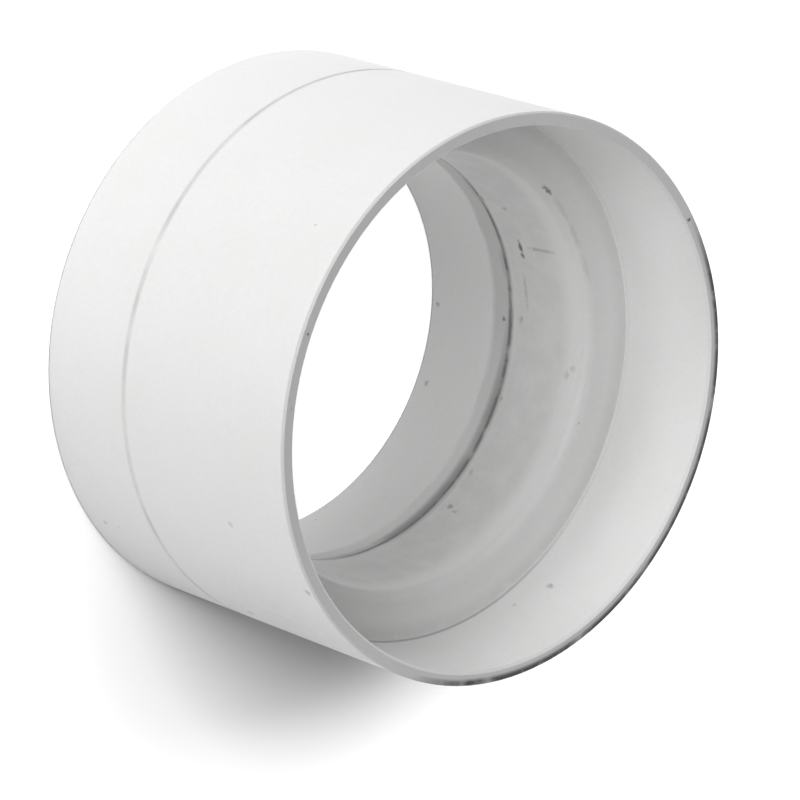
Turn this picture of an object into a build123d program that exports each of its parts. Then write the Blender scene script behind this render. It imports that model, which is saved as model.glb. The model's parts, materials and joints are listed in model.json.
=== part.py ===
from build123d import *
from math import radians, tan
import os

# Flue pipe adapter, moulded as one piece of white PVC.
# It joins a large flue pipe to a small one. A plain round skirt is open at both ends.
# Its upper end is the socket for the large pipe. Inside, a shoulder steps in to a sleeve
# that hangs in the skirt and takes the small pipe from below.
# The adapter stands on its lower end, with its axis on Z and its foot at z = 0.
# All lengths are millimetres, and the section is drawn as radius against height.

# Pipes that the sockets take, by their outside diameters
large_pipe_diameter = 125.0
small_pipe_diameter = 100.0
pipe_clearance = 0.5  # radial gap between a pipe and its socket

# Walls
skirt_wall = 3.2
sleeve_wall = 3.0
shoulder_wall = 3.2

# Heights
large_socket_depth = 27.8
throat_length = 26.2
small_socket_depth = 30.0

# Inside of the sleeve
stop_height = 0.5  # ledge that the small pipe's end meets
throat_flare = 2.0  # the throat widens by this much from the stop to the shoulder
grip_length = 7.0  # deep end of the small socket, which closes in on the pipe
grip_narrowing = 0.2
shoulder_fall = 1.8  # the shoulder dips by this much from the socket to the throat

# Edges and corners
shoulder_round = 3.0
socket_root_chamfer = 0.5
recess_root_chamfer = 1.5
lead_in = 0.6  # chamfer at each socket's mouth
rim_break = 0.4  # on the other edges of both ends

# Marks that the mould leaves
parting_plane = 28.0  # height of the line where the mould's halves meet on the outside
parting_line_width = 0.6
parting_line_depth = 0.25
recess_draft = 0.5  # degrees on the skirt's inside, so that the core leaves the recess

# Radii that follow from the pipes and walls
large_socket = large_pipe_diameter / 2 + pipe_clearance
small_socket = small_pipe_diameter / 2 + pipe_clearance
skirt = large_socket + skirt_wall
sleeve = small_socket + sleeve_wall
grip = small_socket - grip_narrowing
stop = grip - stop_height
throat_top = stop + throat_flare

# Heights that follow, up from the foot
stop_plane = small_socket_depth
shoulder_plane = stop_plane + throat_length
throat_plane = shoulder_plane - shoulder_fall
rim_plane = shoulder_plane + large_socket_depth
recess_top = throat_plane - shoulder_wall
draft = tan(radians(recess_draft))

# Section, once round the wall: each corner's radius and height
outside = [
    (skirt, 0),
    (skirt, parting_plane - parting_line_width / 2),
    (skirt - parting_line_depth, parting_plane),
    (skirt, parting_plane + parting_line_width / 2),
    (skirt, rim_plane),
]
large_bore = [
    (large_socket, rim_plane),
    (large_socket, shoulder_plane),
    (throat_top, throat_plane),
]
small_bore = [
    (stop, stop_plane),
    (grip, stop_plane),
    (small_socket, stop_plane - grip_length),
    (small_socket, 0),
]
recess_inner = throat_top + sleeve_wall
recess_outer = large_socket - draft * recess_top
recess = [
    (sleeve, 0),
    (recess_inner, recess_top),
    (recess_outer, recess_top),
    (large_socket, 0),
]


def corners(face, *places):
    """The section's corners nearest to the given radii and heights."""
    near = [Vector(radius, 0, height) for radius, height in places]
    return [face.vertices().sort_by_distance(point)[0] for point in near]


# The soft edge takes at most half of the shoulder, and the recess keeps a flat root
shoulder_edge = min(shoulder_round, (large_socket - throat_top) / 2)
recess_root = min(recess_root_chamfer, (recess_outer - recess_inner) / 3)
places = outside + large_bore + small_bore + recess
outline = Polyline([(radius, 0, height) for radius, height in places], close=True)
section = make_face(outline.edges()).face()
section = section.fillet_2d(shoulder_edge, corners(section, (throat_top, throat_plane)))

# Chamfers of the section: the roots of the large socket and of the recess, the lead-ins
# at both sockets' mouths, and a small break on the other edges of both ends
chamfers = [
    (socket_root_chamfer, [(large_socket, shoulder_plane)]),
    (recess_root, [(recess_inner, recess_top), (recess_outer, recess_top)]),
    (lead_in, [(large_socket, rim_plane), (small_socket, 0)]),
    (rim_break, [(skirt, rim_plane), (skirt, 0), (large_socket, 0), (sleeve, 0)]),
]
for size, edges in chamfers:
    section = section.chamfer_2d(size, size, corners(section, *edges))

adapter = revolve(section, axis=Axis.Z)
adapter.label = "adapter_body"

os.makedirs("parts", exist_ok=True)
export_step(adapter, "parts/adapter_body.step")
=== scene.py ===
import json
from math import cos, pi, radians, sin

import bpy
from mathutils import Matrix, Vector


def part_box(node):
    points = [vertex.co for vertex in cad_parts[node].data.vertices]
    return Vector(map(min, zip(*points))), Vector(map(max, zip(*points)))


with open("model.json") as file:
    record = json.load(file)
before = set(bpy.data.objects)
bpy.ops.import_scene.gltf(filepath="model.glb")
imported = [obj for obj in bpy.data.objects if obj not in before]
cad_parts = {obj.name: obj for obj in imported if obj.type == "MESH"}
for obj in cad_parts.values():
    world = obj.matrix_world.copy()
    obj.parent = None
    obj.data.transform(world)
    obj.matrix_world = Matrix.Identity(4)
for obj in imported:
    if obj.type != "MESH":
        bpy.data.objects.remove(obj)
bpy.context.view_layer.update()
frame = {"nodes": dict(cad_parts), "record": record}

# Flue pipe adapter, one white PVC moulding that stands on its small-socket end.
# The imported part gives its form. This script gives it its skin, its marks, painted shade in its hollows
# and on its rim, a floor, lamps and a camera.
# Lengths of the object are millimetres, and MM turns them into the scene's metres.
MM = 0.001

# Radii of the moulding
mounts = {mount["name"]: mount for mount in frame["record"]["mounts"]}
large_bore = mounts["large_socket"]
small_bore = mounts["small_socket"]
body_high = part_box("adapter_body")[1]
SKIRT = body_high.x / MM
LARGE_SOCKET = large_bore["dims"]["r_mm"]
SMALL_SOCKET = small_bore["dims"]["r_mm"]
RIM_MIDDLE = (SKIRT + LARGE_SOCKET) / 2
GRIP_NARROWING = 0.2
STOP_HEIGHT = 0.5
STOP_LIP = SMALL_SOCKET - GRIP_NARROWING - STOP_HEIGHT
THROAT_FLARE = 2.0
SHOULDER_EDGE = 53.3

# Heights of the moulding, up from the foot
RIM = body_high.z / MM
ROOT_CHAMFER = 0.5
SHOULDER = large_bore["pos_m"][2] / MM - large_bore["dims"]["length_mm"] / 2 - ROOT_CHAMFER
SHOULDER_FALL = 1.8
THROAT_TOP = SHOULDER - SHOULDER_FALL
GRIP_LENGTH = 7.0
GRIP_END = small_bore["pos_m"][2] / MM + small_bore["dims"]["length_mm"] / 2
STOP = GRIP_END + GRIP_LENGTH
PARTING = 28.0

# Colours, as sRGB hex codes
PVC_CLOUDED = "E2E2E1"
PVC_BRIGHT = "EBEBEB"
# Dark colour of dirt, used also for painted shade
DIRT_AND_SHADE = "3D3D3C"
FLOOR_SEEN = "EAEAEA"
FLOOR_BOUNCE = "929292"
WHITE = "FFFFFF"

# Skin: widths of its clouds, orange peel and grain, and the height of peel and grain
CLOUD = 24.0
PEEL = 3.5
GRAIN = 0.9
RELIEF = 0.04

# Specks: their spacing, and their edge and core as shares of it
SPECK_SPACING = 11.0
SPECK_EDGE = 0.045
SPECK_CORE = 0.02

# Edges of marks and specks wander by up to about this far, in waves of this width
WANDER = 0.8
WANDER_WIDTH = 1.2

# Painted shade, with some grime, on one side of the outside: angle round from +X, height, and half its
# depth, width and height
UNDERSIDE_SHADE_ANGLE = 348
UNDERSIDE_SHADE_HEIGHT = 62
UNDERSIDE_SHADE_REACH = (14, 40, 34)

# Small marks, wall by wall: angle round from +X, height, half size round, half size up, darkness
MARKS = {
    "rim": [
        (270, RIM, 0.9, 0.6, 0.85),
        (145, RIM, 0.9, 0.6, 0.80),
        (285, RIM, 1.6, 0.4, 0.50),
    ],
    "large_bore": [
        (53, 65.5, 1.1, 1.6, 0.40),
        (45, 62.0, 0.8, 0.9, 0.20),
    ],
    "shoulder_edge": [
        (158.5, 54.5, 3.2, 0.6, 0.70),
        # These three draw a faint dark line along the shoulder's edge
        (151, 54.5, 6.5, 1.0, 0.16),
        (142, 54.5, 6.5, 1.0, 0.15),
        (133, 54.5, 6.5, 1.0, 0.11),
    ],
    "throat": [
        (136, 36.0, 2.6, 0.9, 0.85),
        (133, 36.0, 1.4, 0.8, 0.75),
        (136, 42.5, 0.9, 8.0, 0.40),
        (122, 35.0, 9.0, 0.9, 0.30),
        (113.5, 33.0, 2.0, 1.4, 0.35),
        (102, 49.0, 2.0, 0.9, 0.22),
        (104, 50.5, 1.1, 1.4, 0.18),
        (56.5, 34.0, 1.2, 1.4, 0.50),
        (55.5, 36.5, 1.0, 1.2, 0.35),
        (149, 36.5, 1.5, 1.1, 0.35),
        (152, 30.5, 1.8, 1.0, 0.50),
        (68.5, 32.5, 1.8, 1.0, 0.30),
        (90.5, 31.0, 1.2, 1.0, 0.40),
    ],
    "small_socket": [
        (112, 26.5, 1.2, 1.3, 0.75),
        (110.5, 2.5, 1.0, 1.0, 0.45),
        (88.5, 4.0, 1.0, 1.0, 0.45),
    ],
    "outside": [
        (346, 42.0, 1.4, 2.0, 0.40),
        (324.5, 81.5, 1.1, 1.3, 0.35),
        (313, 61.5, 1.1, 1.1, 0.22),
        (327, 7.0, 1.0, 1.0, 0.30),
    ],
}

# Sides where painted shade changes: angle round from +X of the middle, half the span, and the fade within
# it
STOP_SHADE_SIDE = (58, 52, 40)
ROOT_SHADE_SIDE = (25, 48, 35)
RIM_SHADE_SIDE = (270, 80, 45)
RIM_EDGE_SHADE_SIDE = (72, 76, 16)

# The picture: a long lens that looks into the large socket, with the axis running right and down
PICTURE = 800
FOCAL_PIXELS = 5000
SENSOR = 36.0
AXIS_TO_SIGHT = radians(43.63)
AXIS_SLOPE = radians(18.2)
RIM_CENTRE_PIXEL = (509.1, 401.7)
RIM_DISTANCE = 16.99 * SKIRT * MM

# Soft boxes: angle round from +X, angle up, level on a white face square to it, side in metres
BODY_LAMPS = {
    "upper_soft_box": (208, 11, 0.39, 0.6),
    "left_soft_box": (270, 22, 0.51, 0.7),
    "lower_soft_box": (330, 22, 0.18, 0.7),
    "far_soft_box": (95, 8, 0.36, 0.3),
}
FLOOR_LAMPS = {
    "floor_left_soft_box": (252, 60, 1.1, 0.45),
    "floor_upper_soft_box": (200, 60, 0.9, 0.6),
}
LAMP_DISTANCE = 1.3
ROOM_LEVEL = 0.17

# Floor, in metres: half its width, and the distances between which it turns from lit to plain white
FLOOR_HALF = 4.0
FLOOR_FADE = (0.20, 0.45)

# Light that the plain white floor gives the adapter: far off, and under the bore from -X to +X
FAR_FLOOR_LEVEL = 0.25
BORE_FLOOR_LEVELS = (0.42, 1.0)


def linear(code):
    """Linear colour from an sRGB hex code."""
    parts = [int(code[i:i + 2], 16) / 255 for i in (0, 2, 4)]
    return [c / 12.92 if c <= 0.04045 else ((c + 0.055) / 1.055) ** 2.4 for c in parts] + [1.0]


def node(tree, kind, inputs=None, **settings):
    """Adds a node, sets its properties, and fills or links its inputs, given by name or number.
    A Mix node's names repeat: its factor is 0, its numbers are 2 and 3, its colours 6 and 7."""
    made = tree.nodes.new(kind)
    for name, value in settings.items():
        setattr(made, name, value)
    for key, value in (inputs or {}).items():
        if isinstance(value, bpy.types.NodeSocket):
            tree.links.new(value, made.inputs[key])
        else:
            made.inputs[key].default_value = value
    return made


def fresh_material(name):
    """A node material with an empty tree."""
    material = bpy.data.materials.new(name)
    material.use_nodes = True
    material.node_tree.nodes.clear()
    return material


def on_ring(angle, radius, height):
    """Point on a ring about the axis."""
    return (radius * cos(radians(angle)), radius * sin(radians(angle)), height)


def wall_radius(wall, height):
    """Radius of a wall's face at a height, in millimetres."""
    if wall == "throat":
        return STOP_LIP + THROAT_FLARE * (height - STOP) / (THROAT_TOP - STOP)
    return {
        "rim": RIM_MIDDLE, "large_bore": LARGE_SOCKET, "shoulder_edge": SHOULDER_EDGE,
        "small_socket": SMALL_SOCKET, "outside": SKIRT,
    }[wall]


def section_place(tree, place):
    """Place in the moulding's section: its radius in X and its height in Z."""
    flat = node(tree, "ShaderNodeVectorMath", {0: place, 1: (1, 1, 0)}, operation="MULTIPLY").outputs[0]
    radius = node(tree, "ShaderNodeVectorMath", {0: flat}, operation="LENGTH").outputs["Value"]
    height = node(tree, "ShaderNodeSeparateXYZ", {0: place}).outputs["Z"]
    return node(tree, "ShaderNodeCombineXYZ", {"X": radius, "Z": height}).outputs[0]


def wandering_place(tree, place):
    """Place that wanders a little, so that marks get uneven edges."""
    waves = node(tree, "ShaderNodeTexNoise", {
        "Vector": place, "Scale": 1 / WANDER_WIDTH, "Detail": 3.0,
    }).outputs["Color"]
    centred = node(tree, "ShaderNodeVectorMath", {
        0: waves, 1: (0.5, 0.5, 0.5),
    }, operation="SUBTRACT").outputs[0]
    return node(tree, "ShaderNodeVectorMath", {
        0: centred, 1: (2 * WANDER, 2 * WANDER, 2 * WANDER), 2: place,
    }, operation="MULTIPLY_ADD").outputs[0]


def patch(tree, place, centre, reach, strength, core, turn=0.0):
    """Mask about a centre: full strength out to core, a share of its reach, then a fade to 0 at the reach.
    Lengths are millimetres. With a section place, X is radius and Z is height."""
    local = node(tree, "ShaderNodeMapping", {
        "Vector": place, "Location": centre, "Rotation": (0, 0, radians(turn)), "Scale": reach,
    }, vector_type="TEXTURE")
    distance = node(tree, "ShaderNodeVectorMath", {0: local.outputs[0]}, operation="LENGTH")
    return node(tree, "ShaderNodeMapRange", {
        "Value": distance.outputs["Value"], "From Min": 1.0, "From Max": core, "To Max": strength,
    }, interpolation_type="SMOOTHSTEP").outputs[0]


def flecks(tree, place, size, low, high, strength=1.0, detail=2.0):
    """Mask of uneven flecks of a given size in millimetres, from noise stretched between low and high."""
    noise = node(tree, "ShaderNodeTexNoise", {"Vector": place, "Scale": 1 / size, "Detail": detail})
    return node(tree, "ShaderNodeMapRange", {
        "Value": noise.outputs["Fac"], "From Min": low, "From Max": high, "To Max": strength,
    }).outputs[0]


def on_side(tree, place, radius, side, rest, there):
    """Strength on a ring of a given radius: there on one side of the axis, and rest elsewhere."""
    angle, half_span, fade = side
    facing = node(tree, "ShaderNodeVectorMath", {
        0: place, 1: on_ring(angle, 1 / radius, 0),
    }, operation="DOT_PRODUCT")
    return node(tree, "ShaderNodeMapRange", {
        "Value": facing.outputs["Value"], "To Min": rest, "To Max": there,
        "From Min": cos(radians(half_span)), "From Max": cos(radians(half_span - fade)),
    }).outputs[0]


def stop_shade(tree, place, section):
    """Painted shade under the pipe stop, uneven round the axis: a dark line in the crease under the lip,
    its soft lower side, and the darker grip band with its end line.
    """
    lower_side_shade = on_side(tree, place, SMALL_SOCKET, STOP_SHADE_SIDE, rest=0.42, there=0.66)
    grip_band_shade = on_side(tree, place, SMALL_SOCKET, STOP_SHADE_SIDE, rest=0.27, there=0.12)
    return [
        patch(tree, section, (SMALL_SOCKET, 0, STOP - 0.6), (1.5, 1, 1.9), core=0.35,
              strength=flecks(tree, place, size=5.0, low=0.0, high=0.48, strength=0.80)),
        patch(tree, section, (SMALL_SOCKET, 0, STOP - 1.5), (2.5, 1, 4.0), core=0.1,
              strength=flecks(tree, place, size=16.0, low=0.10, high=0.55, strength=lower_side_shade)),
        patch(tree, section, (SMALL_SOCKET, 0, STOP - GRIP_LENGTH / 2), (2.5, 1, 4.2), core=0.65,
              strength=grip_band_shade),
        patch(tree, section, (SMALL_SOCKET, 0, GRIP_END), (1.5, 1, 0.9), core=0.2,
              strength=flecks(tree, place, size=8.0, low=0.25, high=0.60, strength=grip_band_shade)),
    ]


def throat_and_underside_shade(tree, place, section):
    """Painted shade: a faint grey darkening of the deep throat above the stop, and a faint darkening with
    some grime on one side of the outside near the rim.
    """
    return [
        patch(tree, section, (SMALL_SOCKET, 0, STOP + 9.0), (2.5, 1, 12.0), core=0.55,
              strength=flecks(tree, place, size=5.0, low=0.0, high=0.60, strength=0.13, detail=3.0)),
        patch(tree, place, on_ring(UNDERSIDE_SHADE_ANGLE, SKIRT, UNDERSIDE_SHADE_HEIGHT), UNDERSIDE_SHADE_REACH, core=0.0,
              strength=flecks(tree, place, size=4.0, low=0.05, high=0.75, strength=0.13),
              turn=UNDERSIDE_SHADE_ANGLE),
    ]


def root_shade_and_line_dirt(tree, place, section):
    """Painted shade in the large socket's root, stronger on one side, and on the shoulder beside it; dirt
    in the parting line; a faint grey line on the foot's edge.
    """
    root_shade = on_side(tree, place, LARGE_SOCKET, ROOT_SHADE_SIDE, rest=0.13, there=0.48)
    return [
        patch(tree, section, (LARGE_SOCKET - 0.1, 0, SHOULDER + 0.3), (0.8, 1, 0.55), core=0.1,
              strength=root_shade),
        patch(tree, section, (LARGE_SOCKET - 1.0, 0, SHOULDER - 0.4), (4.1, 1, 1.2), core=0.0,
              strength=flecks(tree, place, size=3.0, low=0.0, high=0.50, strength=0.11)),
        patch(tree, section, (SKIRT, 0, PARTING), (1.2, 1, 1.2), core=0.15,
              strength=flecks(tree, place, size=14.0, low=0.20, high=0.65, strength=0.32)),
        patch(tree, section, (SKIRT, 0, 0), (0.8, 1, 0.9), core=0.45,
              strength=flecks(tree, place, size=10.0, low=0.30, high=0.60, strength=0.15)),
    ]


def rim_shade(tree, place, section):
    """Painted shade greying the rim's face, stronger on one side, and darkening its outer edge on one
    side, with some scuffs.
    """
    rim_face_shade = on_side(tree, place, RIM_MIDDLE, RIM_SHADE_SIDE, rest=0.08, there=0.18)
    rim_edge_shade = on_side(tree, place, SKIRT, RIM_EDGE_SHADE_SIDE, rest=0.0, there=0.97)
    return [
        patch(tree, section, (RIM_MIDDLE + 0.6, 0, RIM), (2.0, 1, 1.0), core=0.75, strength=rim_face_shade),
        patch(tree, section, (SKIRT, 0, RIM), (2.2, 1, 1.3), core=0.40,
              strength=flecks(tree, place, size=6.0, low=0.12, high=0.49, strength=rim_edge_shade, detail=5.0)),
    ]


def small_marks(tree, rough_place):
    """Single marks and scratches on each wall, and a faint dark line along the shoulder's edge."""
    masks = []
    for wall, marks in MARKS.items():
        for angle, height, half_round, half_up, dark in marks:
            centre = on_ring(angle, wall_radius(wall, height), height)
            reach = (min(half_round, half_up), half_round, half_up)
            masks.append(patch(tree, rough_place, centre, reach, dark, core=0.2, turn=angle))
    return masks


def scattered_specks(tree, rough_place):
    """Faint specks, in about three of ten cells of a loose net."""
    cells = node(tree, "ShaderNodeTexVoronoi", {"Vector": rough_place, "Scale": 1 / SPECK_SPACING})
    chance = node(tree, "ShaderNodeSeparateXYZ", {0: cells.outputs["Color"]}).outputs["X"]
    chosen = node(tree, "ShaderNodeMapRange", {
        "Value": chance, "From Min": 0.70, "From Max": 0.72, "To Max": 0.35,
    }).outputs[0]
    return [node(tree, "ShaderNodeMapRange", {
        "Value": cells.outputs["Distance"],
        "From Min": SPECK_EDGE, "From Max": SPECK_CORE, "To Max": chosen,
    }).outputs[0]]


def moulded_pvc():
    """White rigid PVC, injection moulded: a satin skin with a faint orange peel and cloudy tone.
    It greys where dirt sits in its parting line and specks. It carries painted shade under the pipe stop,
    in the throat, in the large socket's root, on one side of the outside and on its rim, whose outer edge
    has painted shade and some scuffs on one side."""
    material = fresh_material("moulded_white_pvc")
    tree = material.node_tree
    metres = node(tree, "ShaderNodeTexCoord").outputs["Object"]
    place = node(tree, "ShaderNodeVectorMath", {0: metres, "Scale": 1 / MM}, operation="SCALE").outputs[0]
    rough_place = wandering_place(tree, place)
    section = section_place(tree, place)

    # Dirt and painted shade: the darkest mask at each point
    masks = [
        *stop_shade(tree, place, section),
        *throat_and_underside_shade(tree, place, section),
        *root_shade_and_line_dirt(tree, place, section),
        *rim_shade(tree, place, section),
        *small_marks(tree, rough_place),
        *scattered_specks(tree, rough_place),
    ]
    grime_and_shade = masks[0]
    for mask in masks[1:]:
        grime_and_shade = node(tree, "ShaderNodeMath", {0: grime_and_shade, 1: mask}, operation="MAXIMUM").outputs[0]

    # Tone: cloudy white with a grain drawn coarser than the real one, so that it shows
    clouds = flecks(tree, place, CLOUD, low=0.3, high=0.7, detail=4.0)
    grain = flecks(tree, place, GRAIN, low=0.2, high=0.8, detail=3.0)
    mottle = node(tree, "ShaderNodeMix", {0: 0.60, 2: clouds, 3: grain}).outputs[0]
    clean = node(tree, "ShaderNodeMix", {
        0: mottle, 6: linear(PVC_CLOUDED), 7: linear(PVC_BRIGHT),
    }, data_type="RGBA").outputs[2]
    colour = node(tree, "ShaderNodeMix", {
        0: grime_and_shade, 6: clean, 7: linear(DIRT_AND_SHADE),
    }, data_type="RGBA").outputs[2]

    # Satin gloss, which dirt and painted shade dull
    satin = node(tree, "ShaderNodeMapRange", {
        "Value": clouds, "To Min": 0.38, "To Max": 0.50,
    }).outputs[0]
    roughness = node(tree, "ShaderNodeMapRange", {
        "Value": grime_and_shade, "To Min": satin, "To Max": 0.75,
    }).outputs[0]

    # Relief of orange peel and grain
    peel = flecks(tree, place, PEEL, low=0.2, high=0.8)
    relief = node(tree, "ShaderNodeMix", {0: 0.4, 2: peel, 3: grain}).outputs[0]
    bump = node(tree, "ShaderNodeBump", {
        "Height": relief, "Strength": 0.35, "Distance": RELIEF * MM,
    }).outputs[0]

    skin = node(tree, "ShaderNodeBsdfPrincipled", {
        "Base Color": colour, "Roughness": roughness, "IOR": 1.53, "Normal": bump,
    })
    node(tree, "ShaderNodeOutputMaterial", {"Surface": skin.outputs[0]})
    return material


def seen_rays(tree):
    """1 on rays that the camera, a gloss or a clear piece sends, and 0 on rays that light the object."""
    path = node(tree, "ShaderNodeLightPath").outputs
    seen = path["Is Camera Ray"]
    for kind in ("Is Glossy Ray", "Is Transmission Ray"):
        seen = node(tree, "ShaderNodeMath", {0: seen, 1: path[kind]}, operation="MAXIMUM").outputs[0]
    return seen


def pale_floor():
    """Matt white floor with the adapter's shadow, plain white far off and where it shows through the bore.
    The light that it sends back up the bore is stronger on the +X side."""
    material = fresh_material("pale_floor")
    tree = material.node_tree
    seen = seen_rays(tree)
    bore = SMALL_SOCKET * MM
    place = node(tree, "ShaderNodeNewGeometry").outputs["Position"]
    across = node(tree, "ShaderNodeSeparateXYZ", {0: place}).outputs["X"]
    radius = node(tree, "ShaderNodeVectorMath", {0: place}, operation="LENGTH").outputs["Value"]
    in_bore = node(tree, "ShaderNodeMath", {0: radius, 1: bore}, operation="LESS_THAN").outputs[0]

    paint = node(tree, "ShaderNodeMix", {
        0: seen, 6: linear(FLOOR_BOUNCE), 7: linear(FLOOR_SEEN),
    }, data_type="RGBA").outputs[2]
    matt = node(tree, "ShaderNodeBsdfDiffuse", {"Color": paint}).outputs[0]

    under_bore = node(tree, "ShaderNodeMapRange", {
        "Value": across, "From Min": -bore, "From Max": bore,
        "To Min": BORE_FLOOR_LEVELS[0], "To Max": BORE_FLOOR_LEVELS[1],
    }).outputs[0]
    bounce = node(tree, "ShaderNodeMapRange", {
        "Value": in_bore, "To Min": FAR_FLOOR_LEVEL, "To Max": under_bore,
    }).outputs[0]
    glow = node(tree, "ShaderNodeMapRange", {
        "Value": seen, "To Min": bounce, "To Max": 1.0,
    }).outputs[0]
    white = node(tree, "ShaderNodeEmission", {"Strength": glow}).outputs[0]

    plain = node(tree, "ShaderNodeMapRange", {
        "Value": radius, "From Min": FLOOR_FADE[0], "From Max": FLOOR_FADE[1],
        "To Min": in_bore, "To Max": 1.0,
    }).outputs[0]
    mixed = node(tree, "ShaderNodeMixShader", {0: plain, 1: matt, 2: white}).outputs[0]
    node(tree, "ShaderNodeOutputMaterial", {"Surface": mixed})
    return material


def lay_floor():
    """Wide flat floor under the foot."""
    half = FLOOR_HALF
    corners = [(-half, -half, 0), (half, -half, 0), (half, half, 0), (-half, half, 0)]
    mesh = bpy.data.meshes.new("floor")
    mesh.from_pydata(corners, [], [(0, 1, 2, 3)])
    mesh.materials.append(pale_floor())
    floor = bpy.data.objects.new("floor", mesh)
    bpy.context.scene.collection.objects.link(floor)
    return floor


def set_camera():
    """Camera whose sight line meets the axis at the picture's angle, rolled to the axis's slope."""
    forward = Vector((0, sin(AXIS_TO_SIGHT), -cos(AXIS_TO_SIGHT)))
    along_axis = Vector((0, cos(AXIS_TO_SIGHT), sin(AXIS_TO_SIGHT)))
    across = Vector((1, 0, 0))
    right = cos(AXIS_SLOPE) * along_axis - sin(AXIS_SLOPE) * across
    down = sin(AXIS_SLOPE) * along_axis + cos(AXIS_SLOPE) * across
    aim_x, aim_y = [(pixel - PICTURE / 2) / FOCAL_PIXELS for pixel in RIM_CENTRE_PIXEL]
    data = bpy.data.cameras.new("camera")
    data.sensor_width = SENSOR
    data.lens = SENSOR * FOCAL_PIXELS / PICTURE
    camera = bpy.data.objects.new("camera", data)
    turn = Matrix((right, -down, -forward)).transposed().to_4x4()
    rim_centre = Vector((0, 0, RIM * MM))
    spot = rim_centre - RIM_DISTANCE * (forward + aim_x * right + aim_y * down)
    camera.matrix_world = Matrix.Translation(spot) @ turn
    bpy.context.scene.collection.objects.link(camera)
    bpy.context.scene.camera = camera


def soft_box(name, angle, rise, level, size, lit):
    """Square lamp, aimed at the adapter. A white matt face square to it comes out at the given level."""
    data = bpy.data.lights.new(name, "AREA")
    data.size = size
    data.energy = pi * pi * LAMP_DISTANCE * LAMP_DISTANCE * level
    lamp = bpy.data.objects.new(name, data)
    middle = Vector((0, 0, RIM * MM / 2))
    out = Vector(on_ring(angle, cos(radians(rise)), sin(radians(rise))))
    lamp.location = middle + LAMP_DISTANCE * out
    lamp.rotation_euler = (-out).to_track_quat("-Z", "Y").to_euler()
    lamp.light_linking.receiver_collection = lit
    bpy.context.scene.collection.objects.link(lamp)


def set_lamps(floor):
    """Soft boxes on the adapter alone, and others on the floor alone, which the adapter shades."""
    all_but_floor = bpy.data.collections.new("all_but_floor")
    all_but_floor.objects.link(floor)
    all_but_floor.collection_objects[0].light_linking.link_state = "EXCLUDE"
    floor_alone = bpy.data.collections.new("floor_alone")
    floor_alone.objects.link(floor)
    for lamps, lit in ((BODY_LAMPS, all_but_floor), (FLOOR_LAMPS, floor_alone)):
        for name, lamp in lamps.items():
            soft_box(name, *lamp, lit)


def light_room():
    """Even room light, which the camera sees as plain white."""
    world = bpy.data.worlds.new("room")
    bpy.context.scene.world = world
    world.use_nodes = True
    tree = world.node_tree
    tree.nodes.clear()
    strength = node(tree, "ShaderNodeMapRange", {
        "Value": seen_rays(tree), "To Min": ROOM_LEVEL, "To Max": 1.0,
    }).outputs[0]
    room = node(tree, "ShaderNodeBackground", {"Color": linear(WHITE), "Strength": strength})
    node(tree, "ShaderNodeOutputWorld", {"Surface": room.outputs[0]})


body = frame["nodes"]["adapter_body"]
body.data.materials.clear()
body.data.materials.append(moulded_pvc())
set_lamps(lay_floor())
light_room()
set_camera()
bpy.context.scene.view_settings.view_transform = "Standard"
